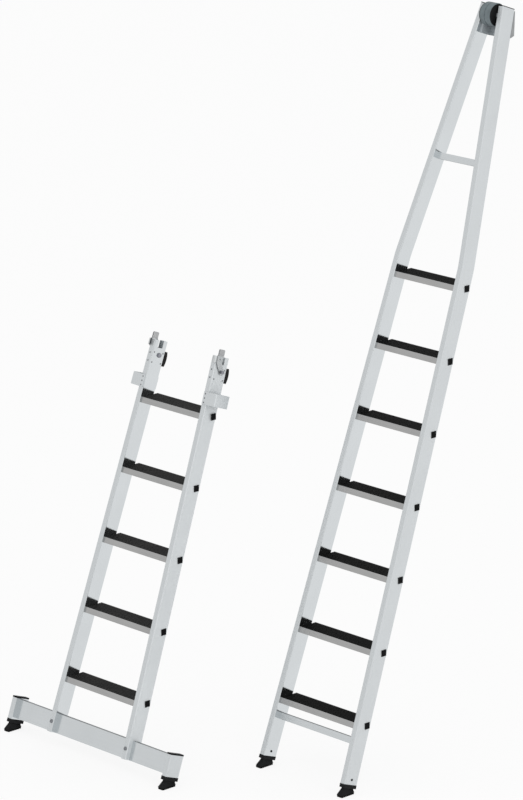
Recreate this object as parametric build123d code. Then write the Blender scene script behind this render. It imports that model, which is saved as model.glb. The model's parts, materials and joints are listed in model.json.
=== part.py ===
from build123d import *
import math
import os

# Stance of the ladder: both sections lean the same way and stand on one floor
lean = 70.5
step_pitch = 280.0
lower_steps = 5
upper_steps = 7
upper_aside = 749.0
upper_behind = 428.0

# Stiles: rectangular tubes that close in towards the top
stile_width = 24.0
stile_depth = 68.0
stile_wall = 2.0
stile_corner = 3.0
stile_taper = 0.0268
lower_half_span = 215.2
upper_half_span = 218.9
head_above_tread = 228.0
kink_above_tread = 73.0
kink_radius = 300.0
head_length = 986.0

# Treads: a flat extrusion over a square tube that runs through both stiles
tread_depth = 82.0
tread_setback = 8.0
tread_front = 21.5
tread_plate = 2.5
tread_lip = 2.2
tread_back = 12.0
tube_size = 25.0
tube_wall = 2.0
tube_back = 39.0
tube_proud = 1.0
spacer_proud = 5.0
hole_clearance = 0.15
pad_thickness = 2.0
pad_end_gap = 0.6
pad_edge_gap = 0.2
pad_groove_count = 7
pad_groove_width = 2.4
pad_groove_depth = 0.8
plug_length = 9.0
plug_head = 2.0
plug_bevel = 1.0
plug_clearance = 0.1

# Traverse: the cross tube that widens the stand of the lower section
traverse_half_length = 432.0
traverse_height = 75.0
traverse_depth = 28.0
traverse_wall = 2.0
traverse_bottom = 59.0
leg_above_traverse = 4.0
leg_cap_thickness = 5.5
leg_cap_insert = 12.0
leg_cap_overhang = 0.4
insert_clearance = 0.2
bolt_radius = 4.0
bolt_height = 100.0
bolt_head_radius = 7.5
bolt_head_height = 4.0
bolt_head_bevel = 2.0
nut_across = 14.0
nut_height = 6.5
bolt_clearance = 0.1

# Feet: a collar on the stile, a waist, a flared wedge and a ribbed sole
foot_height = 53.0
foot_collar = 14.0
foot_collar_overhang = 0.8
foot_insert = 36.0
foot_waist_drop = 4.0
foot_waist_inset = 8.0
foot_waist_side = 5.0
foot_heel_setback = 6.0
foot_flare_width = 28.0
sole_thickness = 7.0
sole_margin = 0.8
sole_corner = 6.0
sole_groove_count = 5
sole_groove_width = 2.5
sole_groove_depth = 1.5
foot_pin_height = 19.0
foot_pin_radius = 3.0
foot_pin_head_radius = 4.5
foot_pin_head = 1.4

# Coupling: a bar on the upper section drops into slots in the lower stiles
bar_below_tread = 81.0
slot_clearance = 0.8
insert_drop = 74.0
latch_gap = 0.3
latch_thickness = 4.0
latch_pivot_depth = 40.0
latch_pivot_height = 171.0
latch_boss = 12.0
latch_front = 1.5
latch_elbow = 203.0
latch_notch = 32.0
latch_nose = 4.5
latch_nose_clearance = 0.5
latch_shoulder = 2.5
latch_hole_radius = 2.5
latch_hole_depth = 16.0
latch_hole_below_top = 10.0
tab_front = 5.0
tab_width = 29.0
tab_height = 28.0
tab_corner = 5.0
grip_radius = 8.0
grip_wall = 2.5
grip_reach = 3.0
grip_curl = 4.0
grip_height = 26.0
pivot_clearance = 0.05
spring_wire = 1.6
spring_wire_sides = 8
spring_turns = 2
spring_pitch = 2.2
spring_gap = 0.35
latch_head_radius = 6.5
latch_head_height = 3.0
latch_nut_across = 16.0
latch_nut_height = 6.0
rivet_radius = 3.4
rivet_bevel = 45.0
rivet_height = 1.2
rivet_sides = 12
rivet_front_depth = 11.0
rivet_back_inset = 9.5
rivet_low = 140.0
rivet_high = 180.0
front_rivet_low = 144.0
front_rivet_high = 175.0

# Guide brackets and wall pads at the head of the lower section
bracket_sheet = 3.0
bracket_reach = 47.0
bracket_foot = 21.0
bracket_play = 1.0
bracket_low = 38.0
bracket_high = 87.0
bracket_bend = 4.0
bracket_rivet_first = 45.0
bracket_rivet_step = 17.0
bracket_rivet_count = 3
wall_pad_low = 131.0
wall_pad_high = 189.0
wall_pad_edge = 12.0
wall_pad_crown = 17.0
wall_pad_round = 2.0

# Head of the upper section: brace, roller fork, roller and wall wedge
brace_above_tread = 452.0
fork_length = 106.0
fork_cheek = 2.5
fork_drop = 3.5
fork_front = 16.0
fork_lug = 10.0
fork_web = 6.0
axle_below_top = 34.0
axle_depth = 15.0
axle_radius = 6.0
axle_hole_clearance = 0.1
axle_end_gap = 0.3
roller_radius = 44.5
roller_width = 58.0
roller_disc = 3.0
roller_disc_radius = 42.0
roller_core_radius = 28.0
roller_side_gap = 2.0
roller_groove = 2.5
roller_groove_depth = 1.5
roller_edge = 2.0
roller_fit = 0.1
bush_radius = 9.0
bush_flange_radius = 12.0
bush_length = 16.0
bush_fit = 0.05
wedge_low = 107.0
wedge_high = 4.0
wedge_thick = 19.0
wedge_thin = 3.0
wedge_rise = 13.0
top_cap_thickness = 3.0
top_cap_insert = 14.0

# Values worked out from the driving dimensions
tilt = 90 - lean
floor_slope = 1 / math.tan(math.radians(lean))
taper_angle = math.degrees(math.atan(stile_taper))
lean_back = Rot(-tilt, 0, 0)


def tread_height(number):
    """Distance of a tread's front edge from the floor, measured along the stile."""
    return number * step_pitch + tread_setback * floor_slope


lower_tread_top = tread_height(lower_steps)
lower_top = lower_tread_top + head_above_tread
upper_tread_top = tread_height(upper_steps)
upper_kink = upper_tread_top + kink_above_tread
upper_top = upper_kink + head_length
traverse_top = traverse_bottom + traverse_height
leg_top = traverse_top + leg_above_traverse
bar_bottom = tread_height(1) - bar_below_tread
slot_floor = bar_bottom + lower_steps * step_pitch
bar_front = (stile_depth - tube_size) / 2
bar_back = bar_front + tube_size
slot_front = bar_front - slot_clearance
slot_back = bar_back + slot_clearance
traverse_front = (stile_depth - traverse_depth) / 2
traverse_back = traverse_front + traverse_depth
fork_gap = roller_width / 2 + roller_side_gap
kink_centre = upper_half_span - stile_taper * upper_kink
head_centre = fork_gap + fork_cheek + stile_width / 2
head_taper = (kink_centre - head_centre) / head_length
head_angle = math.degrees(math.atan(head_taper))


def stile_centre(half_span, height):
    """Half the distance between the centre lines of a section's stiles at a height."""
    if height <= upper_kink:
        return half_span - stile_taper * height
    return half_span - stile_taper * upper_kink - head_taper * (height - upper_kink)


def stile_face(half_span, height, side):
    """Half the distance between the inner (side -1) or outer (side 1) faces of the stiles."""
    angle = head_angle if height > upper_kink else taper_angle
    return stile_centre(half_span, height) + side * stile_width / 2 / math.cos(math.radians(angle))


def prism_x(outline, start, end):
    """Solid with an outline in depth and height, between two places across the ladder."""
    face = make_face(Polyline(*[(start, y, z) for y, z in outline], close=True))
    return extrude(face, amount=end - start, dir=(1, 0, 0))


def block(x, y, z):
    """Box between two limits on each axis."""
    centre = Pos((x[0] + x[1]) / 2, (y[0] + y[1]) / 2, (z[0] + z[1]) / 2)
    return centre * Box(x[1] - x[0], y[1] - y[0], z[1] - z[0])


def rod_x(radius, start, end, y=0.0, z=0.0):
    """Round bar across the ladder."""
    return Pos((start + end) / 2, y, z) * Rot(0, 90, 0) * Cylinder(radius, end - start)


def rod_y(radius, start, end, x=0.0, z=0.0):
    """Round bar from front to back."""
    return Pos(x, (start + end) / 2, z) * Rot(90, 0, 0) * Cylinder(radius, end - start)


def between_stiles(half_span, low, high, depth, side=-1):
    """Wedge of space between the stiles' inner faces, or across their outer faces."""
    wide = stile_face(half_span, low, side)
    narrow = stile_face(half_span, high, side)
    front, back = depth
    corners = [(-wide, front, low), (wide, front, low), (narrow, front, high), (-narrow, front, high)]
    return extrude(make_face(Polyline(*corners, close=True)), amount=back - front, dir=(0, 1, 0))


def both_sides(shape):
    """The right-hand shape and its mirror image for the left."""
    return mirror(shape, about=Plane.YZ), shape


def group(shapes):
    """Separate solids that share a node."""
    return Compound(children=[solid for shape in shapes for solid in shape.solids()])


def stile_tube(points):
    """Hollow stile along a centre line, bent where the line has a corner."""
    path = Line(*points) if len(points) == 2 else FilletPolyline(*points, radius=kink_radius)
    along = (Vector(*points[1]) - Vector(*points[0])).normalized()
    start = Plane(origin=points[0], x_dir=(along.Z, 0, -along.X), z_dir=along)
    bore = Rectangle(stile_width - 2 * stile_wall, stile_depth - 2 * stile_wall)
    profile = RectangleRounded(stile_width, stile_depth, stile_corner) - bore
    return sweep(start * profile, path=path)


def centre_points(half_span, heights):
    """Points on the right-hand stile's centre line."""
    return [(stile_centre(half_span, z), stile_depth / 2, z) for z in heights]


def tread_frame(number):
    """Place of a tread: its front edge, with its top turned level."""
    return Pos(0, tread_setback, tread_height(number)) * Rot(tilt, 0, 0)


def tube_centre_height():
    """Height of the square tube's centre below the tread's top."""
    return -pad_thickness - tube_size / 2


def tube_hole(number):
    """Cutter for the square hole that a tread's tube passes through."""
    size = tube_size + 2 * hole_clearance
    length = 4 * lower_half_span
    return tread_frame(number) * Pos(0, tube_back, tube_centre_height()) * Box(length, size, size)


def tube_end(half_span, number, proud):
    """Half the length of a tread's tube, proud of the stiles' outer faces."""
    return stile_face(half_span, tread_height(number), 1) + proud


def tread_profile():
    """Section of the tread: plate, slanted front, rear lip."""
    slant_back = tread_front * math.cos(math.radians(lean))
    slant_down = tread_front * math.sin(math.radians(lean))
    front = [(0, 0), (tread_lip, 0), (tread_lip - slant_back, -slant_down), (-slant_back, -slant_down)]
    plate = [
        (tread_lip / 2, -pad_thickness),
        (tread_depth, -pad_thickness),
        (tread_depth, -pad_thickness - tread_plate),
        (0, -pad_thickness - tread_plate),
    ]
    rear = [
        (tread_depth - tread_lip, 0),
        (tread_depth, 0),
        (tread_depth, -tread_back),
        (tread_depth - tread_lip, -tread_back),
    ]
    return front, plate, rear


def tread_space(half_span, number):
    """Space between the stiles round a tread, no higher than where they bend inwards."""
    level = tread_height(number)
    high = min(level + step_pitch / 2, upper_kink)
    return between_stiles(half_span, level - step_pitch / 2, high, (-stile_depth, 3 * stile_depth))


def tread(half_span, number, proud=tube_proud):
    """One tread, cut to the stiles' inner faces, with its tube through the stiles."""
    reach = tube_end(half_span, number, proud)
    space = tread_space(half_span, number)
    shell = Part() + [prism_x(outline, -reach, reach) for outline in tread_profile()]
    tube = Pos(0, tube_back, tube_centre_height()) * Box(2 * reach, tube_size, tube_size)
    bore_size = tube_size - 2 * tube_wall
    bore = Pos(0, tube_back, tube_centre_height()) * Box(3 * reach, bore_size, bore_size)
    place = tread_frame(number)
    return ((place * shell) & space) + place * (tube - bore)


def tread_pad(half_span, number):
    """Grooved grip strip that lies between the tread's front and rear lips."""
    reach = tube_end(half_span, number, tube_proud)
    space = tread_space(half_span - pad_end_gap, number)
    front = tread_lip + pad_edge_gap
    back = tread_depth - tread_lip - pad_edge_gap
    strip = block((-reach, reach), (front, back), (-pad_thickness, 0))
    spacing = (back - front) / pad_groove_count
    for index in range(pad_groove_count):
        middle = front + spacing * (index + 0.5)
        groove = (middle - pad_groove_width / 2, middle + pad_groove_width / 2)
        strip -= block((-2 * reach, 2 * reach), groove, (-pad_groove_depth, pad_thickness))
    return (tread_frame(number) * strip) & space


def tread_plugs(half_span, number, proud=tube_proud):
    """Plugs with a bevelled head that closes both ends of a tread's tube."""
    size = tube_size - 2 * tube_wall - 2 * plug_clearance
    head = Pos(plug_head / 2, 0, 0) * Box(plug_head, tube_size, tube_size)
    head = chamfer(head.faces().sort_by(Axis.X)[-1].edges(), plug_bevel)
    plug = head + Pos(-plug_length / 2, 0, 0) * Box(plug_length, size, size)
    centre = Pos(tube_end(half_span, number, proud), tube_back, tube_centre_height())
    return [tread_frame(number) * shape for shape in both_sides(centre * plug)]


def stile_insert(clearance, length):
    """Block that slides into the bore of a stile, standing on its end."""
    across = stile_width - 2 * stile_wall - 2 * clearance
    deep = stile_depth - 2 * stile_wall - 2 * clearance
    return Pos(0, stile_depth / 2, length / 2) * Box(across, deep, length)


def stile_end(half_span, height):
    """Place on a right-hand stile's centre line, turned with the stile, at its front."""
    angle = head_angle if height > upper_kink else taper_angle
    return Pos(stile_centre(half_span, height), 0, height) * Rot(0, -angle, 0)


def sole_frame(across):
    """Level place on the floor under a stile's front face."""
    return Pos(across, 0, 0) * Rot(tilt, 0, 0)


def sole_length():
    """Length of the flared wedge on the sole, from the stile's front line to inside its rear line."""
    return stile_depth / math.sin(math.radians(lean)) - foot_heel_setback


def foot(stand, across):
    """Foot with an insert in the stile, a collar, a waist and a flared wedge on the sole."""
    collar_size = (stile_width + 2 * foot_collar_overhang, stile_depth + 2 * foot_collar_overhang)
    collar = Pos(0, stile_depth / 2, -foot_collar) * extrude(
        RectangleRounded(*collar_size, stile_corner), amount=foot_collar)
    waist_size = (stile_width - 2 * foot_waist_side, stile_depth - 2 * foot_waist_inset)
    waist = Pos(0, stile_depth / 2, -foot_collar - foot_waist_drop) * extrude(
        Rectangle(*waist_size), amount=foot_waist_drop)
    neck = stand * Pos(0, stile_depth / 2, -foot_collar - foot_waist_drop) * Rectangle(*waist_size)
    flare = Pos(0, sole_length() / 2, sole_thickness) * Rectangle(foot_flare_width, sole_length())
    wedge = loft([sole_frame(across) * flare, neck], ruled=True)
    return stand * (stile_insert(insert_clearance, foot_insert) + collar + waist) + wedge


def foot_pin_hole():
    """Cutter for the pin through a stile and the foot's insert, above the stile's end."""
    hole = Rot(0, 90, 0) * Cylinder(foot_pin_radius + bolt_clearance, 2 * stile_width)
    return Pos(0, stile_depth / 2, foot_pin_height) * hole


def sole(across):
    """Ribbed sole plate, level on the floor."""
    length = sole_length() + 2 * sole_margin
    middle = sole_length() / 2
    width = foot_flare_width + 2 * sole_margin
    plate = Pos(0, middle, 0) * extrude(RectangleRounded(width, length, sole_corner), amount=sole_thickness)
    spacing = length / (sole_groove_count + 1)
    for index in range(sole_groove_count):
        place = middle - length / 2 + spacing * (index + 1)
        groove = (place - sole_groove_width / 2, place + sole_groove_width / 2)
        plate -= block((-width, width), groove, (-sole_thickness, sole_groove_depth))
    return sole_frame(across) * plate


def foot_pin(stand):
    """Pin with a head on both faces of the stile, through the foot's insert."""
    half = stile_width / 2
    pin = rod_x(foot_pin_radius, -half - foot_pin_head, half + foot_pin_head)
    heads = [
        rod_x(foot_pin_head_radius, half, half + foot_pin_head),
        rod_x(foot_pin_head_radius, -half - foot_pin_head, -half),
    ]
    return stand * Pos(0, stile_depth / 2, foot_pin_height) * (pin + heads)


def head_frame():
    """Place on the outer face of the lower right stile, at the top tread's level."""
    across = stile_face(lower_half_span, lower_tread_top, 1)
    return Pos(across, 0, lower_tread_top) * Rot(0, -taper_angle, 0)


def rivet():
    """Head of a blind rivet, standing on the plane it holds."""
    return extrude(RegularPolygon(rivet_radius, rivet_sides), amount=rivet_height, taper=rivet_bevel)


def side_rivets():
    """Depth and height of the side rivets in the lower stile's head; the first lies under the latch."""
    front = rivet_front_depth
    back = stile_depth - rivet_back_inset
    return [(front, rivet_high), (front, rivet_low), (back, rivet_low), (back, rivet_high)]


def head_rivets():
    """Rivets that hold the coupling insert and the wall pad in the lower stile's head."""
    inner = [Pos(-stile_width, y, z) * Rot(0, -90, 0) * rivet() for y, z in side_rivets()]
    outer = [Pos(0, y, z) * Rot(0, 90, 0) * rivet() for y, z in side_rivets()[1:]]
    heights = (front_rivet_low, front_rivet_high)
    return inner + outer + [Pos(-stile_width / 2, 0, z) * Rot(90, 0, 0) * rivet() for z in heights]


def bracket_rivets():
    """Rivets through the front of the guide bracket into the stile."""
    heights = [bracket_rivet_first + bracket_rivet_step * index for index in range(bracket_rivet_count)]
    front = Pos(-stile_width / 2, -bracket_sheet, 0)
    return [front * Pos(0, 0, z) * Rot(90, 0, 0) * rivet() for z in heights]


def pivot_hole(clearance):
    """Cutter for the latch bolt through the stile's head."""
    place = (latch_pivot_depth, latch_pivot_height)
    return rod_x(bolt_radius + clearance, -2 * stile_width, 2 * stile_width, *place)


def above_tread(height):
    """Height of a coupling feature above the top tread's level."""
    return height - lower_tread_top


def head_insert():
    """Block inside the lower stile's head, whose top is the seat of the coupling bar."""
    top = above_tread(slot_floor)
    body = Pos(-stile_width / 2, 0, top - insert_drop) * stile_insert(insert_clearance, insert_drop)
    return body - pivot_hole(bolt_clearance)


def latch():
    """Sprung latch plate with a thumb tab, a nose over the slot and a curled finger grip."""
    top = above_tread(lower_top)
    shoulder = top + latch_shoulder
    pivot = Pos(latch_pivot_depth, latch_pivot_height)
    middle = Pos((latch_front + latch_notch) / 2, (latch_elbow + shoulder) / 2)
    plate = middle * Rectangle(latch_notch - latch_front, shoulder - latch_elbow)
    bottom = plate.edges().sort_by(Axis.Y)[0]
    plate += make_hull([bottom] + (pivot * Circle(latch_boss)).edges())
    nose_low = above_tread(slot_floor) + tube_size + latch_nose_clearance
    nose = Pos(latch_notch + latch_nose / 2, (nose_low + shoulder) / 2)
    plate += nose * Rectangle(latch_nose, shoulder - nose_low)
    tab = Pos(tab_front + tab_width / 2, top + tab_height / 2)
    plate += tab * RectangleRounded(tab_width, tab_height, tab_corner)
    plate -= pivot * Circle(bolt_radius + pivot_clearance)
    plate -= Pos(latch_hole_depth, top - latch_hole_below_top) * Circle(latch_hole_radius)
    body = Pos(latch_gap, 0, 0) * extrude(Plane.YZ * plate, amount=latch_thickness)
    outer = latch_gap + latch_thickness
    ring = Circle(grip_radius) - Circle(grip_radius - grip_wall)
    curl_width = grip_radius + grip_curl
    ring &= Pos(grip_radius - curl_width / 2, -grip_radius / 2) * Rectangle(curl_width, grip_radius)
    tail_length = grip_reach + latch_front + grip_wall
    tail = Pos(grip_radius - grip_wall / 2, tail_length / 2) * Rectangle(grip_wall, tail_length)
    grip = extrude(ring + tail, amount=grip_height)
    return body + Pos(outer - grip_radius, -grip_reach, latch_elbow) * grip


def spring_path():
    """Centre line of the latch spring round the X axis: tangent arcs, two to each half turn."""
    radius = bolt_radius + spring_gap + spring_wire / 2
    quarters = [index * math.pi / 2 for index in range(round(4 * spring_turns) + 1)]
    rise = spring_pitch / (2 * math.pi)
    corners = [Vector(rise * turn, radius * math.cos(turn), radius * math.sin(turn)) for turn in quarters]
    direction = Vector(rise, 0, radius)
    arcs = []
    for start, end in zip(corners, corners[1:]):
        arcs.append(TangentArc(start, end, tangent=direction))
        direction = arcs[-1] % 1
    return Wire(arcs)


def spring_least_gap():
    """Least space between the turns of the latch spring, measured on points of its centre line."""
    per_turn = 24
    count = round(per_turn * spring_turns)
    path = spring_path()
    points = [path @ (index / count) for index in range(count + 1)]
    half = per_turn // 2
    apart = [(points[i] - points[j]).length for i in range(half, count + 1) for j in range(i - half + 1)]
    return min(apart) - spring_wire


def latch_spring():
    """Coil of the latch spring on the pivot, outside the plate."""
    path = spring_path()
    wire = RegularPolygon(spring_wire / 2, spring_wire_sides)
    coil = sweep(Plane(origin=path @ 0, z_dir=path % 0) * wire, path=path)
    start = latch_gap + latch_thickness + spring_gap + spring_wire / 2
    return Pos(start, latch_pivot_depth, latch_pivot_height) * coil


def spring_space():
    """Room that the spring takes between the latch plate and the bolt's head."""
    return spring_pitch * spring_turns + spring_wire + 2 * spring_gap


def latch_bolt():
    """Pivot bolt with its head outside the spring."""
    head = latch_gap + latch_thickness + spring_space()
    place = (latch_pivot_depth, latch_pivot_height)
    shank = rod_x(bolt_radius, -stile_width - latch_nut_height, head, *place)
    cap = rod_x(latch_head_radius, head, head + latch_head_height, *place)
    return shank + chamfer(cap.faces().sort_by(Axis.X)[-1].edges(), latch_head_height / 3)


def hex_nut(across, height, bore):
    """Six-sided nut standing on its face."""
    return extrude(RegularPolygon(across / 2, 6, major_radius=False) - Circle(bore), amount=height)


def latch_nut():
    """Nut of the pivot bolt, on the stile's inner face."""
    nut = hex_nut(latch_nut_across, latch_nut_height, bolt_radius + pivot_clearance)
    return Pos(-stile_width - latch_nut_height, latch_pivot_depth, latch_pivot_height) * Rot(0, 90, 0) * nut


def guide_bracket():
    """Sheet bent round a pocket beside the lower stile, for the end of the upper stile."""
    outer = bracket_reach - bracket_sheet / 2
    front = -bracket_sheet / 2
    back = stile_depth + bracket_play + bracket_sheet / 2
    path = [(-bracket_foot, front), (outer, front), (outer, back), (-bracket_foot, back)]
    line = FilletPolyline(*[(x, y, bracket_low) for x, y in path], radius=bracket_bend)
    start = Plane(origin=line @ 0, x_dir=(0, 0, 1), z_dir=(1, 0, 0))
    height = bracket_high - bracket_low
    return sweep(start * Pos(height / 2, 0) * Rectangle(height, bracket_sheet), path=line)


def wall_pad():
    """Crowned rubber pad on the back of the lower stile's head."""
    back = stile_depth
    middle = (wall_pad_low + wall_pad_high) / 2
    crown = ThreePointArc((back + wall_pad_edge, wall_pad_low), (back + wall_pad_crown, middle),
                          (back + wall_pad_edge, wall_pad_high))
    rest = Polyline((back + wall_pad_edge, wall_pad_high), (back, wall_pad_high), (back, wall_pad_low),
                    (back + wall_pad_edge, wall_pad_low))
    pad = extrude(Plane.YZ * make_face(crown + rest), amount=stile_width)
    rounded = pad.edges().filter_by(Axis.X).group_by(Axis.Y)[-1]
    return Pos(-stile_width, 0, 0) * fillet(rounded, wall_pad_round)


def lower_stile():
    """Right-hand stile of the lower section, forked over the traverse and slotted for the bar."""
    tube = stile_tube(centre_points(lower_half_span, (traverse_bottom, lower_top)))
    wide = 2 * lower_half_span
    tube -= block((0, wide), (traverse_front, traverse_back), (0, traverse_top))
    tube -= rod_y(bolt_radius + bolt_clearance, -stile_depth, 2 * stile_depth, bolt_across(), bolt_height)
    tube -= [tube_hole(number) for number in range(1, lower_steps + 1)]
    slot = block((-2 * stile_width, stile_width), (slot_front, slot_back),
                 (above_tread(slot_floor), 2 * above_tread(lower_top)))
    return tube - head_frame() * slot - head_frame() * pivot_hole(bolt_clearance)


def bolt_across():
    """Distance of a traverse bolt from the middle of the ladder."""
    return stile_centre(lower_half_span, bolt_height)


def traverse():
    """Cross tube between the two short legs."""
    y = (traverse_front, traverse_back)
    z = (traverse_bottom, traverse_top)
    x = (-traverse_half_length, traverse_half_length)
    body = block(x, y, z)
    inner_y = (y[0] + traverse_wall, y[1] - traverse_wall)
    inner_z = (z[0] + traverse_wall, z[1] - traverse_wall)
    body -= block((2 * x[0], 2 * x[1]), inner_y, inner_z)
    hole = rod_y(bolt_radius + bolt_clearance, 0, 2 * stile_depth, bolt_across(), bolt_height)
    return body - list(both_sides(hole))


def traverse_bolt():
    """Bolt with a bevelled head on the stile's front face, through the fork and the traverse."""
    reach = stile_depth + nut_height
    shank = rod_y(bolt_radius, 0, reach, bolt_across(), bolt_height)
    head = rod_y(bolt_head_radius, -bolt_head_height, 0, bolt_across(), bolt_height)
    return shank + chamfer(head.faces().sort_by(Axis.Y)[0].edges(), bolt_head_bevel)


def traverse_nut():
    """Nut of a traverse bolt, on the stile's rear face."""
    nut = hex_nut(nut_across, nut_height, bolt_radius + pivot_clearance)
    return Pos(bolt_across(), stile_depth + nut_height, bolt_height) * Rot(90, 0, 0) * nut


def leg_centre():
    """Distance of a short leg's centre from the middle of the ladder."""
    return traverse_half_length + stile_width / 2


def traverse_leg():
    """Short piece of stile tube at the traverse's right end."""
    ends = [(leg_centre(), stile_depth / 2, foot_height), (leg_centre(), stile_depth / 2, leg_top)]
    return stile_tube(ends)


def leg_cap():
    """Cap with an insert, on top of a short leg."""
    size = (stile_width + 2 * leg_cap_overhang, stile_depth + 2 * leg_cap_overhang)
    plate = extrude(RectangleRounded(*size, stile_corner), amount=leg_cap_thickness)
    insert = Pos(0, 0, -leg_cap_insert) * stile_insert(insert_clearance, leg_cap_insert)
    return Pos(leg_centre(), 0, leg_top) * (Pos(0, stile_depth / 2, 0) * plate + insert)


def cross_tube(low):
    """Square tube between the upper stiles' inner faces, in the middle of their depth."""
    depth = (bar_front, bar_back)
    high = low + tube_size
    wide = 2 * upper_half_span
    bore_depth = (bar_front + tube_wall, bar_back - tube_wall)
    body = block((-wide, wide), depth, (low, high))
    body -= block((-2 * wide, 2 * wide), bore_depth, (low + tube_wall, high - tube_wall))
    return body & between_stiles(upper_half_span, low - tube_size, high + tube_size, depth)


def upper_stile():
    """Right-hand stile of the upper section, bent inwards above the top tread."""
    tube = stile_tube(centre_points(upper_half_span, (foot_height, upper_kink, upper_top)))
    tube -= [tube_hole(number) for number in range(1, upper_steps + 1)]
    return tube - stile_end(upper_half_span, foot_height) * foot_pin_hole()


def top_cap():
    """Thin cap on the top of an upper stile."""
    plate = Pos(0, stile_depth / 2, 0) * extrude(
        RectangleRounded(stile_width, stile_depth, stile_corner), amount=top_cap_thickness)
    insert = Pos(0, 0, -top_cap_insert) * stile_insert(insert_clearance, top_cap_insert)
    return stile_end(upper_half_span, upper_top) * (plate + insert)


def axle_height():
    """Height of the roller's axle along the stile."""
    return upper_top - axle_below_top


def roller_fork():
    """Fork between the stiles' heads: two cheeks with lugs for the axle, joined by a rear web."""
    high = upper_top - fork_drop
    low = high - fork_length
    cheeks = block((-upper_half_span, upper_half_span), (fork_front, stile_depth), (low, high))
    lugs = rod_x(fork_lug, -upper_half_span, upper_half_span, axle_depth, axle_height())
    body = (cheeks + lugs) & between_stiles(upper_half_span, low, high, (-stile_depth, stile_depth))
    inside = (-stile_depth, stile_depth - fork_web)
    body -= block((-fork_gap, fork_gap), inside, (high - 2 * fork_length, high + fork_length))
    bore = axle_radius + axle_hole_clearance
    return body - rod_x(bore, -stile_depth, stile_depth, axle_depth, axle_height())


def roller_axle():
    """Steel axle between the stiles, in the fork's cheeks."""
    half = stile_face(upper_half_span, axle_height() + axle_radius, -1) - axle_end_gap
    return rod_x(axle_radius, -half, half, axle_depth, axle_height())


def on_axle(shape):
    """Turn a shape that stands on the Z axis to lie on the roller's axle."""
    return Pos(0, axle_depth, axle_height()) * Rot(0, 90, 0) * shape


def roller_tyre():
    """Grey tyre with a groove round its middle."""
    width = roller_width - 2 * roller_disc
    tyre = Cylinder(roller_radius, width) - Cylinder(roller_core_radius + roller_fit, 2 * width)
    rims = tyre.edges().filter_by(GeomType.CIRCLE).group_by(SortBy.RADIUS)[-1]
    tyre = chamfer(rims, roller_edge)
    ring = Cylinder(2 * roller_radius, roller_groove)
    return on_axle(tyre - (ring - Cylinder(roller_radius - roller_groove_depth, 2 * width)))


def roller_core():
    """Core of the roller, bored for the bushes."""
    return on_axle(Cylinder(roller_core_radius, roller_width - 2 * roller_disc)
                   - Cylinder(bush_radius + roller_fit, roller_width))


def roller_discs():
    """Side discs that hold the tyre on the core."""
    place = roller_width / 2 - roller_disc / 2
    disc = Cylinder(roller_disc_radius, roller_disc) - Cylinder(bush_radius + roller_fit, roller_width)
    return [on_axle(Pos(0, 0, side * place) * disc) for side in (-1, 1)]


def roller_bushes():
    """Flanged bushes that run on the axle."""
    flange = roller_side_gap - axle_end_gap
    edge = roller_width / 2
    bush = Pos(0, 0, edge - bush_length / 2) * Cylinder(bush_radius, bush_length)
    bush += Pos(0, 0, edge + flange / 2) * Cylinder(bush_flange_radius, flange)
    bush -= Cylinder(axle_radius + bush_fit, 4 * edge)
    return [on_axle(bush), on_axle(mirror(bush, about=Plane.XY))]


def wall_wedge():
    """Wedge behind the head that meets the wall."""
    low = upper_top - wedge_low
    high = upper_top - wedge_high
    back = stile_depth
    outline = [(back, low), (back + wedge_thick, low + wedge_rise), (back + wedge_thin, high), (back, high)]
    wide = upper_half_span
    space = between_stiles(upper_half_span, low - fork_length, upper_top, (back, back + 2 * wedge_thick), 1)
    return prism_x(outline, -wide, wide) & space


def lower_section():
    """Nodes of the lower section, standing on the traverse's feet."""
    nodes = {}
    steps = range(1, lower_steps + 1)
    pairs = {
        "lower_stile": lower_stile(),
        "traverse_leg": traverse_leg(),
        "lower_foot": foot(Pos(leg_centre(), 0, foot_height), leg_centre()),
        "lower_sole": sole(leg_centre()),
        "head_insert": head_frame() * head_insert(),
        "guide_bracket": head_frame() * guide_bracket(),
        "wall_pad": head_frame() * wall_pad(),
        "latch": head_frame() * latch(),
    }
    for name, shape in pairs.items():
        nodes[name + "_left"], nodes[name + "_right"] = both_sides(shape)
    plugs = []
    for number in steps:
        proud = spacer_proud if number == lower_steps else tube_proud
        nodes[f"lower_tread_{number}"] = tread(lower_half_span, number, proud)
        plugs += tread_plugs(lower_half_span, number, proud)
    nodes["lower_tread_plugs"] = group(plugs)
    nodes["lower_tread_pads"] = group([tread_pad(lower_half_span, number) for number in steps])
    nodes["traverse"] = traverse()
    fixings = {
        "traverse_leg_caps": [leg_cap()],
        "traverse_bolts": [traverse_bolt()],
        "traverse_nuts": [traverse_nut()],
        "head_rivets": [head_frame() * head for head in head_rivets()],
        "bracket_rivets": [head_frame() * head for head in bracket_rivets()],
        "latch_bolts": [head_frame() * latch_bolt()],
        "latch_nuts": [head_frame() * latch_nut()],
        "latch_springs": [head_frame() * latch_spring()],
    }
    for name, shapes in fixings.items():
        nodes[name] = group([copy for shape in shapes for copy in both_sides(shape)])
    return nodes


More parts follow.
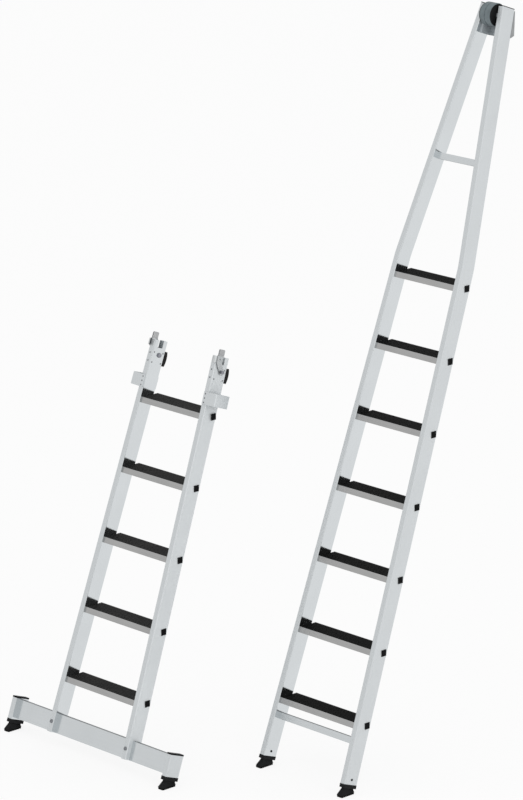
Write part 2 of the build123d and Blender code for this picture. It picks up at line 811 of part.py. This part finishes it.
def upper_section():
    """Nodes of the upper section, standing on its own two feet."""
    nodes = {}
    steps = range(1, upper_steps + 1)
    stand = stile_end(upper_half_span, foot_height)
    across = stile_centre(upper_half_span, 0)
    pairs = {
        "upper_stile": upper_stile(),
        "upper_foot": foot(stand, across) - stand * foot_pin_hole(),
        "upper_sole": sole(across),
    }
    for name, shape in pairs.items():
        nodes[name + "_left"], nodes[name + "_right"] = both_sides(shape)
    for number in steps:
        nodes[f"upper_tread_{number}"] = tread(upper_half_span, number)
    nodes["upper_tread_pads"] = group([tread_pad(upper_half_span, number) for number in steps])
    plugs = [plug for number in steps for plug in tread_plugs(upper_half_span, number)]
    nodes["upper_tread_plugs"] = group(plugs)
    nodes["upper_foot_pins"] = group(both_sides(foot_pin(stand)))
    nodes["coupling_bar"] = cross_tube(bar_bottom)
    nodes["brace_bar"] = cross_tube(upper_tread_top + brace_above_tread)
    nodes["stile_top_caps"] = group(both_sides(top_cap()))
    nodes["roller_fork"] = roller_fork()
    nodes["roller_axle"] = roller_axle()
    nodes["roller_tyre"] = roller_tyre()
    nodes["roller_core"] = roller_core()
    nodes["roller_discs"] = group(roller_discs())
    nodes["roller_bushes"] = group(roller_bushes())
    nodes["wall_wedge"] = wall_wedge()
    return nodes


def assembly():
    """All nodes in place, with the origin on the floor under the middle of the whole."""
    nodes = {name: lean_back * shape for name, shape in lower_section().items()}
    beside = Pos(upper_aside, upper_behind, 0) * lean_back
    nodes.update({name: beside * shape for name, shape in upper_section().items()})
    boxes = [shape.bounding_box() for shape in nodes.values()]
    low = [min(getattr(box.min, axis) for box in boxes) for axis in "XYZ"]
    high = [max(getattr(box.max, axis) for box in boxes) for axis in "XYZ"]
    centre = Pos(-(low[0] + high[0]) / 2, -(low[1] + high[1]) / 2, -low[2])
    return {name: centre * shape for name, shape in nodes.items()}, centre


ladder, centring = assembly()
os.makedirs("parts", exist_ok=True)
for node, shape in ladder.items():
    export_step(shape, f"parts/{node}.step")
print(len(ladder), "nodes, centred by", centring.position)
print("least gap in a latch spring", round(spring_least_gap(), 3), "mm")
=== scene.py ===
# %% [markdown]
# # A sectional ladder, dressed for its picture
#
# The ladder comes as two sections that plug together: a short one on a cross traverse, and a
# long one that narrows to a roller. Its solids are exact already, so nothing here bends a tube
# or cuts a slot. What Blender adds is what a solid can't say: how drawn and anodised
# aluminium shines, how rubber and moulded plastic soak up light, and the pale studio round it.

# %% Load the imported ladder
import json
import math

import bpy
from mathutils import Matrix, Vector


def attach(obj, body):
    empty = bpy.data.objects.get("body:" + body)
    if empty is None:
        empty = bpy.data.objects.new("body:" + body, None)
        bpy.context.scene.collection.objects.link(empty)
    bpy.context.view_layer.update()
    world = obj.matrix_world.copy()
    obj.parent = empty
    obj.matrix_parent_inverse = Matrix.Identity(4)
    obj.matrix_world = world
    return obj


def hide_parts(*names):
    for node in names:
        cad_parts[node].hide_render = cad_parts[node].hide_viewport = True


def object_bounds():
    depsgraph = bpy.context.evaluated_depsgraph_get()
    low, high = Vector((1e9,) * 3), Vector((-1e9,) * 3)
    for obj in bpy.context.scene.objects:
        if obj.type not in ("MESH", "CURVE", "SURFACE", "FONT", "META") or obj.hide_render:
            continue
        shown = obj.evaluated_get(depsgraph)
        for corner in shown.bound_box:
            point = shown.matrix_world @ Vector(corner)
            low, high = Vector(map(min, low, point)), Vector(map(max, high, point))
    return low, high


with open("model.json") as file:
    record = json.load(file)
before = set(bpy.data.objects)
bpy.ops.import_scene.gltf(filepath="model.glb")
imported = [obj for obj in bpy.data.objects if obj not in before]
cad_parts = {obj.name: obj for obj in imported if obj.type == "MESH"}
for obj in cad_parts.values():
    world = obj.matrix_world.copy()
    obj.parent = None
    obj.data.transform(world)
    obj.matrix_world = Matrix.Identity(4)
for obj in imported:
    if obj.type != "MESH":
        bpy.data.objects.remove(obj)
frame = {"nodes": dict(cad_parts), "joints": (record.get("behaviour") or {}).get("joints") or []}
cad_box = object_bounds()
nodes = frame["nodes"]

# %% [markdown]
# ## Writing a finish as arithmetic
#
# A material is a graph of nodes, and a graph is hard to read as code. A small class that wraps
# one output socket lets Python's own operators add the Math nodes, so that a line such as
# `0.2 + 0.1 * smudge` is both the recipe and the graph.

# %% A socket that can be calculated with


class Wire:
    """An output socket; arithmetic on it adds Math nodes to its finish."""

    def __init__(self, finish, socket):
        self.finish = finish
        self.socket = socket

    def _math(self, operation, first, second):
        return self.finish.node("Math", {"operation": operation}, {0: first, 1: second})

    def __add__(self, other):
        return self._math("ADD", self, other)

    def __radd__(self, other):
        return self._math("ADD", other, self)

    def __sub__(self, other):
        return self._math("SUBTRACT", self, other)

    def __rsub__(self, other):
        return self._math("SUBTRACT", other, self)

    def __mul__(self, other):
        return self._math("MULTIPLY", self, other)

    def __rmul__(self, other):
        return self._math("MULTIPLY", other, self)


print("wires can be added, subtracted and multiplied")

# %% [markdown]
# ## A finish and its nodes
#
# Each surface of the ladder gets a finish, which is one material. Blender's Principled shader
# does the shining, and everything that varies over the surface is worked out in front of it.
# Every node other than Math comes from the one method `node`, which sets the node's choices
# first and its sockets after. The other methods are short names for nodes that keep coming
# back. All patterns are counted per metre of the ladder, so they don't stretch from one tube
# to the next as a wrapped picture would.

# %% A finish


class Finish:
    """A material whose nodes are added by method and joined by value."""

    def __init__(self, name):
        self.material = bpy.data.materials.new(name)
        self.material.use_nodes = True
        self.tree = self.material.node_tree
        self.shader = self.tree.nodes["Principled BSDF"]

    def put(self, socket, value):
        """Link a wire to an input, or set the input to a plain value."""
        if isinstance(value, Wire):
            self.tree.links.new(value.socket, socket)
        else:
            socket.default_value = value

    def node(self, kind, settings=None, sockets=None, output=0):
        """Add a node: its settings first, then its sockets; returns one of its outputs."""
        made = self.tree.nodes.new("ShaderNode" + kind)
        for name, value in (settings or {}).items():
            setattr(made, name, value)
        for name, value in (sockets or {}).items():
            self.put(made.inputs[name], value)
        return Wire(self, made.outputs[output])

    def place(self, kind="Object"):
        """Where a point lies on the ladder at rest, in metres, or which way it faces (Normal)."""
        here = self.node("TexCoord", output=kind)
        return [self.node("SeparateXYZ", sockets={0: here}, output=axis) for axis in range(3)]

    def vector(self, x, y, z):
        """Three numbers as one vector."""
        return self.node("CombineXYZ", sockets={0: x, 1: y, 2: z})

    def noise(self, where, scale=1.0, detail=2.0, rough=0.5):
        """A cloudy pattern of values round 0.5."""
        sockets = {"Vector": where, "Scale": scale, "Detail": detail, "Roughness": rough}
        return self.node("TexNoise", sockets=sockets)

    def fade(self, value, low, high):
        """0 at low, 1 at high, smooth between and level beyond."""
        settings = {"interpolation_type": "SMOOTHSTEP"}
        return self.node("MapRange", settings, {0: value, 1: low, 2: high, 3: 0.0, 4: 1.0})

    def blend(self, amount, first, second):
        """A colour between two colours, which a Mix node takes at its sockets 6 and 7."""
        settings = {"data_type": "RGBA"}
        return self.node("Mix", settings, {0: amount, 6: first, 7: second}, output=2)

    def mottle(self, pattern, dark, light, low=0.3, high=0.7):
        """Two tones in soft patches; a noise pattern hardly leaves the range of low to high."""
        return self.blend(self.fade(pattern, low, high), dark, light)

    def bump(self, height, strength, distance):
        """Let a pattern tilt the surface; distance is its depth in metres."""
        sockets = {"Height": height, "Strength": strength, "Distance": distance}
        self.put(self.shader.inputs["Normal"], self.node("Bump", sockets=sockets))

    def give(self, inputs):
        """Set or link the shader's inputs."""
        for name, value in inputs.items():
            self.put(self.shader.inputs[name], value)


def colour(red, green, blue):
    """A screen colour (0 to 255) as the linear colour that a shader takes."""
    def linear(level):
        share = level / 255
        return share / 12.92 if share <= 0.04045 else ((share + 0.055) / 1.055) ** 2.4
    return (linear(red), linear(green), linear(blue), 1.0)


print("a middle grey of 128 is", round(colour(128, 128, 128)[0], 3), "to a shader")

# %% [markdown]
# ## The ladder's own directions
#
# Both sections lean back at the same angle, and a drawn tube carries its die lines along its
# length. Measured from the floor up along a stile instead of straight up, those lines become
# a plain stretch of a noise pattern, so a few wires turn a point into "how far along the stile"
# and "how deep into it". The lean is read from the slide joint that lifts the upper section.

# %% Along and into the stiles
ACROSS, INTO, ALONG = range(3)
lift = next(joint for joint in frame["joints"] if joint["type"] == "slide")
lean = math.atan2(lift["axis"][2], lift["axis"][1])


def stile_directions(finish, kind="Object"):
    """How far across, into and along the stiles a point lies, or how far it faces those ways."""
    x, y, z = finish.place(kind)
    along = y * math.cos(lean) + z * math.sin(lean)
    into = y * math.sin(lean) - z * math.cos(lean)
    return x, into, along


print("stiles lean at", round(math.degrees(lean), 2), "degrees")

# %% [markdown]
# ## Wear and painted shade on the tubes
#
# The inner sides of the stiles keep the mill's shine, because nothing rubs there. Hands, walls
# and other ladders dull the rest to a satin. The fronts are painted a shade greyer, as painted
# shade for the dim light from the front, and the cross tubes are set darker and rougher on the
# faces that look up or down along the stiles. Each could be a material of its own on chosen
# faces, but a mask that asks which way a face looks needs no list of faces, and goes on working
# when a tube changes its shape.

# %% Masks of wear and painted shade
LOOKS_INWARD = (-0.03, -0.01)
LOOKS_FORWARD = (-0.8, -0.9)
LOOKS_UP_OR_DOWN = (0.2, 0.6)


def rubbed_side(finish, middle_x):
    """0 on the faces that look towards a section's middle, 1 on the others."""
    outward = (finish.place()[ACROSS] - middle_x) * finish.place("Normal")[ACROSS]
    return finish.fade(outward, *LOOKS_INWARD)


# painted shade mask: picks out the fronts of the stiles
def shaded_front(finish):
    """1 on the faces that look to the front of the stiles, 0 on the others."""
    return finish.fade(stile_directions(finish, "Normal")[INTO], *LOOKS_FORWARD)


def top_and_bottom_faces(finish):
    """1 on the faces that look up or down along the stiles, 0 on the others."""
    upright = stile_directions(finish, "Normal")[ALONG]
    return finish.fade(upright * upright, *LOOKS_UP_OR_DOWN)


hinges = [joint for joint in frame["joints"] if joint["name"].endswith("latch_hinge")]
spin = next(joint for joint in frame["joints"] if joint["name"] == "roller_spin")
lower_middle = sum(joint["pos_m"][ACROSS] for joint in hinges) / len(hinges)
upper_middle = spin["pos_m"][ACROSS]
print("section middles at", round(lower_middle, 3), "and", round(upper_middle, 3))

# %% [markdown]
# ## Anodised tube
#
# The stiles, the traverse and the treads are drawn tube with a clear anodised skin: bright, a
# touch cool, and smooth enough to mirror the black treads as clear dark bands. Fine die lines
# run along the tube. They could be modelled, but they are thinner than a millimetre, so a
# stretched noise shifts the gloss and the tone a little instead, and wide smudges do the same
# by the hand's breadth.

# %% Anodised aluminium
# Patterns, counted per metre, and the die lines' share in the tone
DIE_LINES = 1600.0
LINE_LENGTH = 3.0
SMUDGES = 7.0
LINE_SHARE = 0.55
# What each adds to the roughness
POLISH = 0.06
SMUDGING = 0.05
LINING = 0.03
HANDLING = 0.09
SCUFFING = 0.31
# How much of the mirror is lost where a stile is rubbed
SATIN = 0.65
LINE_BUMP = 0.04
LINE_DEPTH = 0.0002
# painted shade: the greyer tone of the stiles' fronts, for the dim light from the front
FRONT_SHADE = colour(206, 210, 212)
# the darker grey that the cross tubes take on faces looking up or down along the stiles
TOP_AND_BOTTOM_TONE = colour(122, 126, 129)


def anodised(name, tones, run, middle_x=None, darker_tops_and_bottoms=False):
    """Drawn aluminium; run says which of across, into, along the die lines follow.

    A stile also names the middle of its section, which tells its rubbed sides from its inner one.
    """
    finish = Finish(name)
    directions = stile_directions(finish)
    scales = [LINE_LENGTH if way == run else DIE_LINES for way in (ACROSS, INTO, ALONG)]
    stretched = [place * scale for place, scale in zip(directions, scales)]
    lines = finish.noise(finish.vector(*stretched), detail=1.0)
    smudge = finish.noise(finish.vector(*directions), scale=SMUDGES, detail=3.0)
    skin = finish.mottle(LINE_SHARE * lines + (1.0 - LINE_SHARE) * smudge, *tones)
    rough = POLISH + SMUDGING * smudge + LINING * lines
    if middle_x is None:
        finish.give({"Metallic": 1.0})
        rough = rough + HANDLING
    else:
        scuffed = rubbed_side(finish, middle_x)
        finish.give({"Metallic": 1.0 - SATIN * scuffed})
        rough = rough + SCUFFING * scuffed
        # painted shade: the fronts turn a shade greyer, for the dim light from the front
        skin = finish.blend(shaded_front(finish), skin, FRONT_SHADE)
    # faces that look up or down along the stiles turn a darker grey and rougher
    if darker_tops_and_bottoms:
        tone_mask = top_and_bottom_faces(finish)
        skin = finish.blend(tone_mask, skin, TOP_AND_BOTTOM_TONE)
        rough = rough + SCUFFING * tone_mask
    finish.give({"Base Color": skin, "Roughness": rough})
    finish.bump(lines, LINE_BUMP, LINE_DEPTH)
    return finish.material


print("die lines about", round(1000 / DIE_LINES, 1), "mm wide")

# %% [markdown]
# ## The tubes' tones
#
# Every tube could take one aluminium, but they don't all look alike: the cross tubes are a touch
# darker than the stiles, and the treads are clearly greyer. The lower section's right stile
# stands further from the studio's lamp than the upper one's, and its tube is painted a shade
# lighter, as painted light that makes up for the lamp light it gets less of.

# %% Tube finishes
STILE_TONES = (colour(209, 213, 215), colour(215, 219, 221))
# painted light: lighter tones for the lower right stile, making up for the lamp light it lacks
LAMP_MAKEUP_TONES = (colour(219, 223, 225), colour(225, 229, 231))
CROSS_TONES = (colour(207, 211, 213), colour(214, 218, 220))
TREAD_TONES = (colour(168, 168, 168), colour(180, 180, 179))

lower_skin = anodised("anodised_lower_stile", STILE_TONES, ALONG, lower_middle)
# painted light: this stile's tube is a shade lighter to make up for the lamp light it lacks
painted_light_skin = anodised("anodised_lower_right_stile_painted_light", LAMP_MAKEUP_TONES, ALONG, lower_middle)
upper_skin = anodised("anodised_upper_stile", STILE_TONES, ALONG, upper_middle)
cross_skin = anodised("anodised_cross_tube", CROSS_TONES, ACROSS, darker_tops_and_bottoms=True)
bracket_skin = anodised("anodised_bracket", CROSS_TONES, ACROSS)
tread_skin = anodised("anodised_tread", TREAD_TONES, ACROSS)
print("tube finishes:", lower_skin.name, upper_skin.name, cross_skin.name, tread_skin.name)

# %% [markdown]
# ## Black rubber and moulded plastic
#
# The grip strips, the wall pads and the soles are rubber, and the plugs, caps and feet are
# moulded plastic. Both are nearly black, so their surface says which is which: rubber is dull
# with a trace of dust, plastic has a fine moulded grain and a low sheen. One recipe makes them
# all, with the numbers changed. The lower section's strips and the wall pads are set a lighter
# black than the strips of the upper one.

# %% Black finishes
DUST_PATCHES = 11.0
DUST_RANGE = (0.35, 0.75)
DUST_DULLING = 0.16
GRAIN_BUMP = 0.25


def black(name, dark, light, sheen, shine, grain, depth):
    """Dull black with dust in it and a fine grain; sheen is how rough it is without dust."""
    finish = Finish(name)
    where = finish.vector(*finish.place())
    pores = finish.noise(where, scale=grain)
    tone_mask = finish.noise(where, scale=DUST_PATCHES, detail=4.0, rough=0.6)
    finish.give({"Base Color": finish.mottle(tone_mask, dark, light, *DUST_RANGE)})
    finish.give({"Roughness": sheen + DUST_DULLING * tone_mask, "Specular IOR Level": shine})
    finish.bump(pores, GRAIN_BUMP, depth)
    return finish.material


# the upper section's strips take a darker black, the lower section's strips and the wall pads a
# lighter one
darker_grip = black("darker_grip", colour(9, 9, 9), colour(18, 18, 17),
                   sheen=0.62, shine=0.06, grain=900.0, depth=0.0003)
lighter_grip = black("lighter_grip", colour(34, 34, 34), colour(45, 44, 43),
                   sheen=0.62, shine=0.10, grain=900.0, depth=0.0003)
sole_rubber = black("sole_black", colour(14, 14, 14), colour(24, 24, 23),
                    sheen=0.66, shine=0.08, grain=700.0, depth=0.0003)
moulded_black = black("moulded_black", colour(8, 9, 10), colour(15, 16, 18),
                      sheen=0.40, shine=0.06, grain=1300.0, depth=0.0002)
foot_plastic = black("foot_plastic", colour(23, 24, 25), colour(33, 34, 35),
                     sheen=0.44, shine=0.08, grain=1100.0, depth=0.0002)
print("black finishes:", darker_grip.name, lighter_grip.name, moulded_black.name, foot_plastic.name)

# %% [markdown]
# ## Bolts, nuts and rivets
#
# The latches' bolts and nuts are zinc plated steel, greyer and duller than the tubes, with a
# faint cloudiness from the bath. The rivets and the traverse's bolts are darker steel. A cloudy
# noise could tint the colour alone, but a bath clouds the gloss too, so one noise drives both.

# %% Steel finishes
CLOUDS = 60.0
CLOUD_DETAIL = 4.0
STEEL_ROUGHNESS = 0.26
STEEL_CLOUDING = 0.16
PITS = 500.0
PIT_BUMP = 0.06
PIT_DEPTH = 0.0002


def steel(name, dark, light):
    """Small steel fixings, cloudy and slightly bluish."""
    finish = Finish(name)
    where = finish.vector(*finish.place())
    cloud = finish.noise(where, scale=CLOUDS, detail=CLOUD_DETAIL)
    finish.give({"Base Color": finish.mottle(cloud, dark, light), "Metallic": 1.0})
    finish.give({"Roughness": STEEL_ROUGHNESS + STEEL_CLOUDING * cloud})
    finish.bump(finish.noise(where, scale=PITS), PIT_BUMP, PIT_DEPTH)
    return finish.material


zinc_fixing = steel("zinc_fixing", colour(148, 149, 156), colour(164, 165, 171))
rivet_steel = steel("rivet_steel", colour(114, 116, 119), colour(138, 140, 143))
bolt_steel = steel("bolt_steel", colour(118, 120, 124), colour(142, 144, 148))
print("steel finishes:", zinc_fixing.name, rivet_steel.name, bolt_steel.name)

# %% [markdown]
# ## Latches
#
# A latch is a plated sheet with a thumb tab above and a curled finger grip in front of its
# stile. Thumbs wear the tab to a duller satin than the plate below. The cut edges are painted
# dark as shade along the plate's edge, and painted shade darkens the bend where the grip begins
# and blackens its hollow. A painted picture could show that, but masks along the stile's own
# directions say it in a few lines, and fade from one tone to the next.

# %% Latch finish
SOFT_BORDER = 0.001
BEND_WIDTH = 0.002
LOOKS_SIDEWAYS = (0.1, 0.3)
LOOKS_AT_MIDDLE = (0.03, 0.09)
PLATE_TONES = (colour(203, 206, 207), colour(213, 215, 216))
TAB_TONES = (colour(184, 185, 186), colour(195, 196, 196))
# painted shade: the dark tone of the plate's cut edges
EDGE_SHADE = colour(112, 114, 117)
# painted shade: the near black inside the grip's curl
HOLLOW_SHADE = colour(52, 54, 56)
PLATE_ROUGHNESS = 0.16
PLATE_CLOUDING = 0.12
THUMB_WEAR = 0.22


def latch_metal(name, middle_x, front, root):
    """Plated sheet; front is where the stile begins, root is where the thumb tab does."""
    finish = Finish(name)
    across, into, along = stile_directions(finish)
    facing = finish.place("Normal")[ACROSS]
    worn = finish.fade(along, root - SOFT_BORDER, root + SOFT_BORDER)
    behind = finish.fade(into, front, front + SOFT_BORDER)
    # painted shade along the plate's cut edges
    edge_shade = (1.0 - finish.fade(facing * facing, *LOOKS_SIDEWAYS)) * behind
    # painted shade that blackens the hollow of the grip's curl
    hollow_shade = finish.fade((middle_x - across) * facing, *LOOKS_AT_MIDDLE) * (1.0 - behind)
    # painted shade in the crease where the grip bends away from the plate
    bend_start = finish.fade(into, front - SOFT_BORDER, front)
    bend_end = finish.fade(into, front + BEND_WIDTH, front + BEND_WIDTH + SOFT_BORDER)
    dark = edge_shade + (bend_start - bend_end) * (1.0 - worn) * (1.0 - edge_shade)

    cloud = finish.noise(finish.vector(across, into, along), scale=CLOUDS, detail=CLOUD_DETAIL)
    plate, tab = finish.mottle(cloud, *PLATE_TONES), finish.mottle(cloud, *TAB_TONES)
    sheet = finish.blend(dark, finish.blend(worn, plate, tab), EDGE_SHADE)
    finish.give({"Base Color": finish.blend(hollow_shade, sheet, HOLLOW_SHADE), "Metallic": 1.0})
    finish.give({"Roughness": PLATE_ROUGHNESS + PLATE_CLOUDING * cloud + THUMB_WEAR * worn})
    return finish.material


def reach(node, direction):
    """The least and the most that a node's points lie along a direction, in metres."""
    places = [vertex.co.dot(direction) for vertex in nodes[node].data.vertices]
    return min(places), max(places)


TAB_HEIGHT = 0.026
along_stile = Vector((0.0, math.cos(lean), math.sin(lean)))
into_stile = Vector((0.0, math.sin(lean), -math.cos(lean)))
stile_front = reach("lower_stile_left", into_stile)[0]
tab_root = reach("latch_left", along_stile)[1] - TAB_HEIGHT
latch_plate = latch_metal("latch_plate", lower_middle, stile_front, tab_root)
print("thumb tabs begin", round(tab_root, 3), "m up the stiles")

# %% [markdown]
# ## Grey rubber and plastic
#
# The roller's tyre and the wedge behind it are the grey rubber that doesn't mark a wall. The
# fork that carries the roller is grey moulded plastic, and the inserts in the stiles' heads and
# the roller's bushes are a darker one. They are rubbed in patches, so a noise with much detail
# shifts the tone and dulls the surface at the same places.

# %% Grey finishes
SCUFFS = 24.0
SCUFF_RANGE = (0.3, 0.72)
SCUFF_DULLING = 0.18
GREY_SHINE = 0.4
GREY_BUMP = 0.2
GREY_DEPTH = 0.0003


def grey_mould(name, dark, light, sheen, grain):
    """Grey rubber or plastic with a little scuffing; sheen is how rough it is without it."""
    finish = Finish(name)
    where = finish.vector(*finish.place())
    scuff = finish.noise(where, scale=SCUFFS, detail=5.0, rough=0.6)
    finish.give({"Base Color": finish.mottle(scuff, dark, light, *SCUFF_RANGE)})
    finish.give({"Roughness": sheen + SCUFF_DULLING * scuff, "Specular IOR Level": GREY_SHINE})
    finish.bump(finish.noise(where, scale=grain), GREY_BUMP, GREY_DEPTH)
    return finish.material


roller_rubber = grey_mould("roller_grey", colour(96, 106, 110), colour(116, 127, 131),
                           sheen=0.45, grain=600.0)
fork_plastic = grey_mould("fork_grey", colour(158, 165, 169), colour(174, 181, 185),
                          sheen=0.38, grain=1100.0)
wedge_rubber = grey_mould("wedge_rubber", colour(146, 148, 150), colour(162, 164, 165),
                          sheen=0.5, grain=700.0)
insert_plastic = grey_mould("insert_plastic", colour(60, 61, 63), colour(80, 81, 83),
                            sheen=0.5, grain=900.0)
print("grey finishes:", roller_rubber.name, fork_plastic.name, wedge_rubber.name)

# %% [markdown]
# ## Handing out the finishes
#
# Each solid keeps its shape and takes one finish. The names of the nodes already say what they
# are made of, so a short table from the start of a name to a finish is enough. The first match
# counts, which is why the strips and plugs on the treads stand before the treads.

# %% Dress the nodes
WEAR = [
    ("lower_tread_pads", lighter_grip), ("upper_tread_pads", darker_grip),
    ("lower_tread_plugs", moulded_black), ("upper_tread_plugs", moulded_black),
    ("lower_tread", tread_skin), ("upper_tread", tread_skin),
    ("lower_stile_right", painted_light_skin), ("lower_stile", lower_skin), ("upper_stile", upper_skin),
    ("traverse_leg_caps", moulded_black), ("traverse_leg", lower_skin),
    ("traverse_bolts", bolt_steel), ("traverse_nuts", bolt_steel), ("traverse", cross_skin),
    ("coupling_bar", cross_skin), ("brace_bar", cross_skin), ("guide_bracket", bracket_skin),
    ("lower_foot", foot_plastic), ("upper_foot", foot_plastic),
    ("lower_sole", sole_rubber), ("upper_sole", sole_rubber),
    ("stile_top_caps", moulded_black), ("wall_pad", lighter_grip), ("wall_wedge", wedge_rubber),
    ("latch_left", latch_plate), ("latch_right", latch_plate), ("latch", zinc_fixing),
    ("head_rivets", rivet_steel), ("bracket_rivets", rivet_steel),
    ("head_insert", insert_plastic), ("roller_bushes", insert_plastic),
    ("roller_tyre", roller_rubber), ("roller_core", moulded_black),
    ("roller_discs", foot_plastic), ("roller_axle", zinc_fixing), ("roller_fork", fork_plastic),
]

for name, piece in nodes.items():
    finish = next(material for start, material in WEAR if name.startswith(start))
    piece.data.materials.clear()
    piece.data.materials.append(finish)
print("dressed", len(nodes), "nodes")

# %% [markdown]
# ## Latch springs
#
# A spring sits on each latch's pivot, between the plate and the bolt's head, and turns the
# latch back over its slot. Its solid has a wire with eight flat sides, which is plenty for a
# simulation. A mesh could be twisted round the axis by a modifier, but a curve is simpler: the
# helix runs on the hinge's own axis, as long and as wide as the solid that it stands for, and
# the curve's bevel makes the wire round.

# %% The line of a spring
WIRE_RADIUS = 0.0008
COIL_TURNS = 2
POINTS_PER_TURN = 32
NEAR = 0.05


def coil(hinge):
    """Points of the helix that runs inside the spring's solid at a hinge."""
    pivot = Vector(hinge["pos_m"])
    axis = Vector(hinge["axis"]).normalized()
    offsets = [vertex.co - pivot for vertex in nodes["latch_springs"].data.vertices]
    offsets = [offset for offset in offsets if offset.length < NEAR]
    places = [offset.dot(axis) for offset in offsets]
    start, end = min(places) + WIRE_RADIUS, max(places) - WIRE_RADIUS
    radius = max(offset.cross(axis).length for offset in offsets) - WIRE_RADIUS
    first = axis.orthogonal().normalized() * radius
    second = axis.cross(first)
    count = COIL_TURNS * POINTS_PER_TURN
    for index in range(count + 1):
        angle = 2 * math.pi * index / POINTS_PER_TURN
        turned = first * math.cos(angle) + second * math.sin(angle)
        yield pivot + axis * (start + (end - start) * index / count) + turned


routes = [list(coil(hinge)) for hinge in hinges]
print(len(routes), "springs of", len(routes[0]), "points")

# %% [markdown]
# ## Winding the springs
#
# Both springs are lines of one curve object, because they share their wire and stay with the
# lower section while the latches turn. Two objects would do as well, but the solids that they
# stand for are one node, and a curve in its place is simplest to keep in step with it.

# %% Latch springs
WIRE_ROUNDNESS = 3

scene = bpy.context.scene
wire = bpy.data.curves.new("latch_spring_wire", "CURVE")
wire.dimensions = "3D"
wire.bevel_depth = WIRE_RADIUS
wire.bevel_resolution = WIRE_ROUNDNESS
wire.use_fill_caps = True
wire.materials.append(zinc_fixing)
for route in routes:
    spline = wire.splines.new("POLY")
    spline.points.add(len(route) - 1)
    for knot, point in zip(spline.points, route):
        knot.co = (*point, 1.0)
springs = bpy.data.objects.new("latch_spring_coils", wire)
scene.collection.objects.link(springs)
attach(springs, "lower_section")
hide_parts("latch_springs")
print("springs wound from wire of", 2000 * WIRE_RADIUS, "mm")

# %% [markdown]
# ## Studio floor
#
# The floor is a wide pale sheet that keeps the ladder's shadow. More lamps could whiten it, but
# they would bleach the ladder as well. Instead, part of what the camera and the metal see of
# the floor shines by itself, which whitens the picture without any more light on the ladder.

# %% Floor
FLOOR_SIZE = 400.0
WHITENING = 0.85
PAPER = (0.93, 0.93, 0.93, 1.0)
WHITE = (1.0, 1.0, 1.0, 1.0)
scene.view_settings.view_transform = "Standard"

bpy.ops.mesh.primitive_plane_add(size=FLOOR_SIZE)
floor = bpy.context.object
floor.name = "studio_floor"
paper = Finish("floor_paper")
paper.give({"Base Color": PAPER, "Roughness": 0.9, "Specular IOR Level": 0.1})
rays = ("Is Camera Ray", "Is Glossy Ray", "Is Transmission Ray")
camera_ray, glossy_ray, clear_ray = [paper.node("LightPath", output=ray) for ray in rays]
whitened = WHITENING * (camera_ray + glossy_ray + clear_ray)
lit = Wire(paper, paper.shader.outputs[0])
glow = paper.node("Emission", sockets={"Color": WHITE, "Strength": 1.0})
sheet = paper.node("MixShader", sockets={0: whitened, 1: lit, 2: glow})
paper.put(paper.tree.nodes["Material Output"].inputs["Surface"], sheet)
floor.data.materials.append(paper.material)
print("floor", FLOOR_SIZE, "m wide")

# %% [markdown]
# ## Studio light
#
# Bright metal has no colour of its own to speak of: it shows the room. A white room all round
# gives it the even, pale look of a catalogue picture, and the soft lamps only add the shade
# between one side and the next. They are as wide as a wall, because a small lamp would show in
# the metal as a hard white streak.

# %% Light
ROOM_LIGHT = 0.86
LAMP_WIDTH = 8.0
LAMPS = [("right_lamp", (6.0, -1.5, 5.0), 60.0), ("front_lamp", (-1.0, -6.0, 6.0), 8.0)]

world = bpy.data.worlds.new("white_room")
scene.world = world
world.use_nodes = True
background = world.node_tree.nodes["Background"]
background.inputs["Color"].default_value = WHITE
background.inputs["Strength"].default_value = ROOM_LIGHT


def soft_lamp(name, place, target, power):
    """A square lamp that faces a point."""
    data = bpy.data.lights.new(name, "AREA")
    data.energy = power
    data.size = LAMP_WIDTH
    lamp = bpy.data.objects.new(name, data)
    scene.collection.objects.link(lamp)
    lamp.location = place
    lamp.rotation_euler = (target - place).to_track_quat("-Z", "Y").to_euler()


middle = (cad_box[0] + cad_box[1]) / 2
for name, place, power in LAMPS:
    soft_lamp(name, Vector(place), middle, power)
print(len(LAMPS), "lamps face the ladder's middle at", [round(value, 3) for value in middle])

# %% [markdown]
# ## Camera
#
# The photograph looks at the ladder from its right front and a little from above, from far
# enough away that upright edges stay nearly parallel. A camera could be aimed by eye, but the
# place and the lens below were worked out from the ends of the treads, so the picture's frame
# falls where the photograph's does.

# %% Camera at the photograph's angle
TURN = math.radians(46.1014)
HEIGHT = math.radians(15.6631)
CAMERA_PLACE = Vector((11.6031, -11.2126, 5.8640))
PICTURE_LONG_SIDE = 800
FOCAL_PIXELS = 4383.2
SENSOR = 36.0

right = Vector((math.cos(TURN), math.sin(TURN), 0.0))
level = Vector((-math.sin(TURN), math.cos(TURN), 0.0))
ahead = level * math.cos(HEIGHT) - Vector((0.0, 0.0, math.sin(HEIGHT)))
upward = right.cross(ahead)
lens = bpy.data.cameras.new("photograph")
lens.sensor_width = SENSOR
lens.lens = FOCAL_PIXELS * SENSOR / PICTURE_LONG_SIDE
camera = bpy.data.objects.new("photograph", lens)
scene.collection.objects.link(camera)
facing = Matrix((right, upward, -ahead)).transposed().to_4x4()
camera.matrix_world = Matrix.Translation(CAMERA_PLACE) @ facing
scene.camera = camera
distance = (CAMERA_PLACE - middle).length
print("camera", round(distance, 2), "m away, lens", round(lens.lens, 1), "mm")
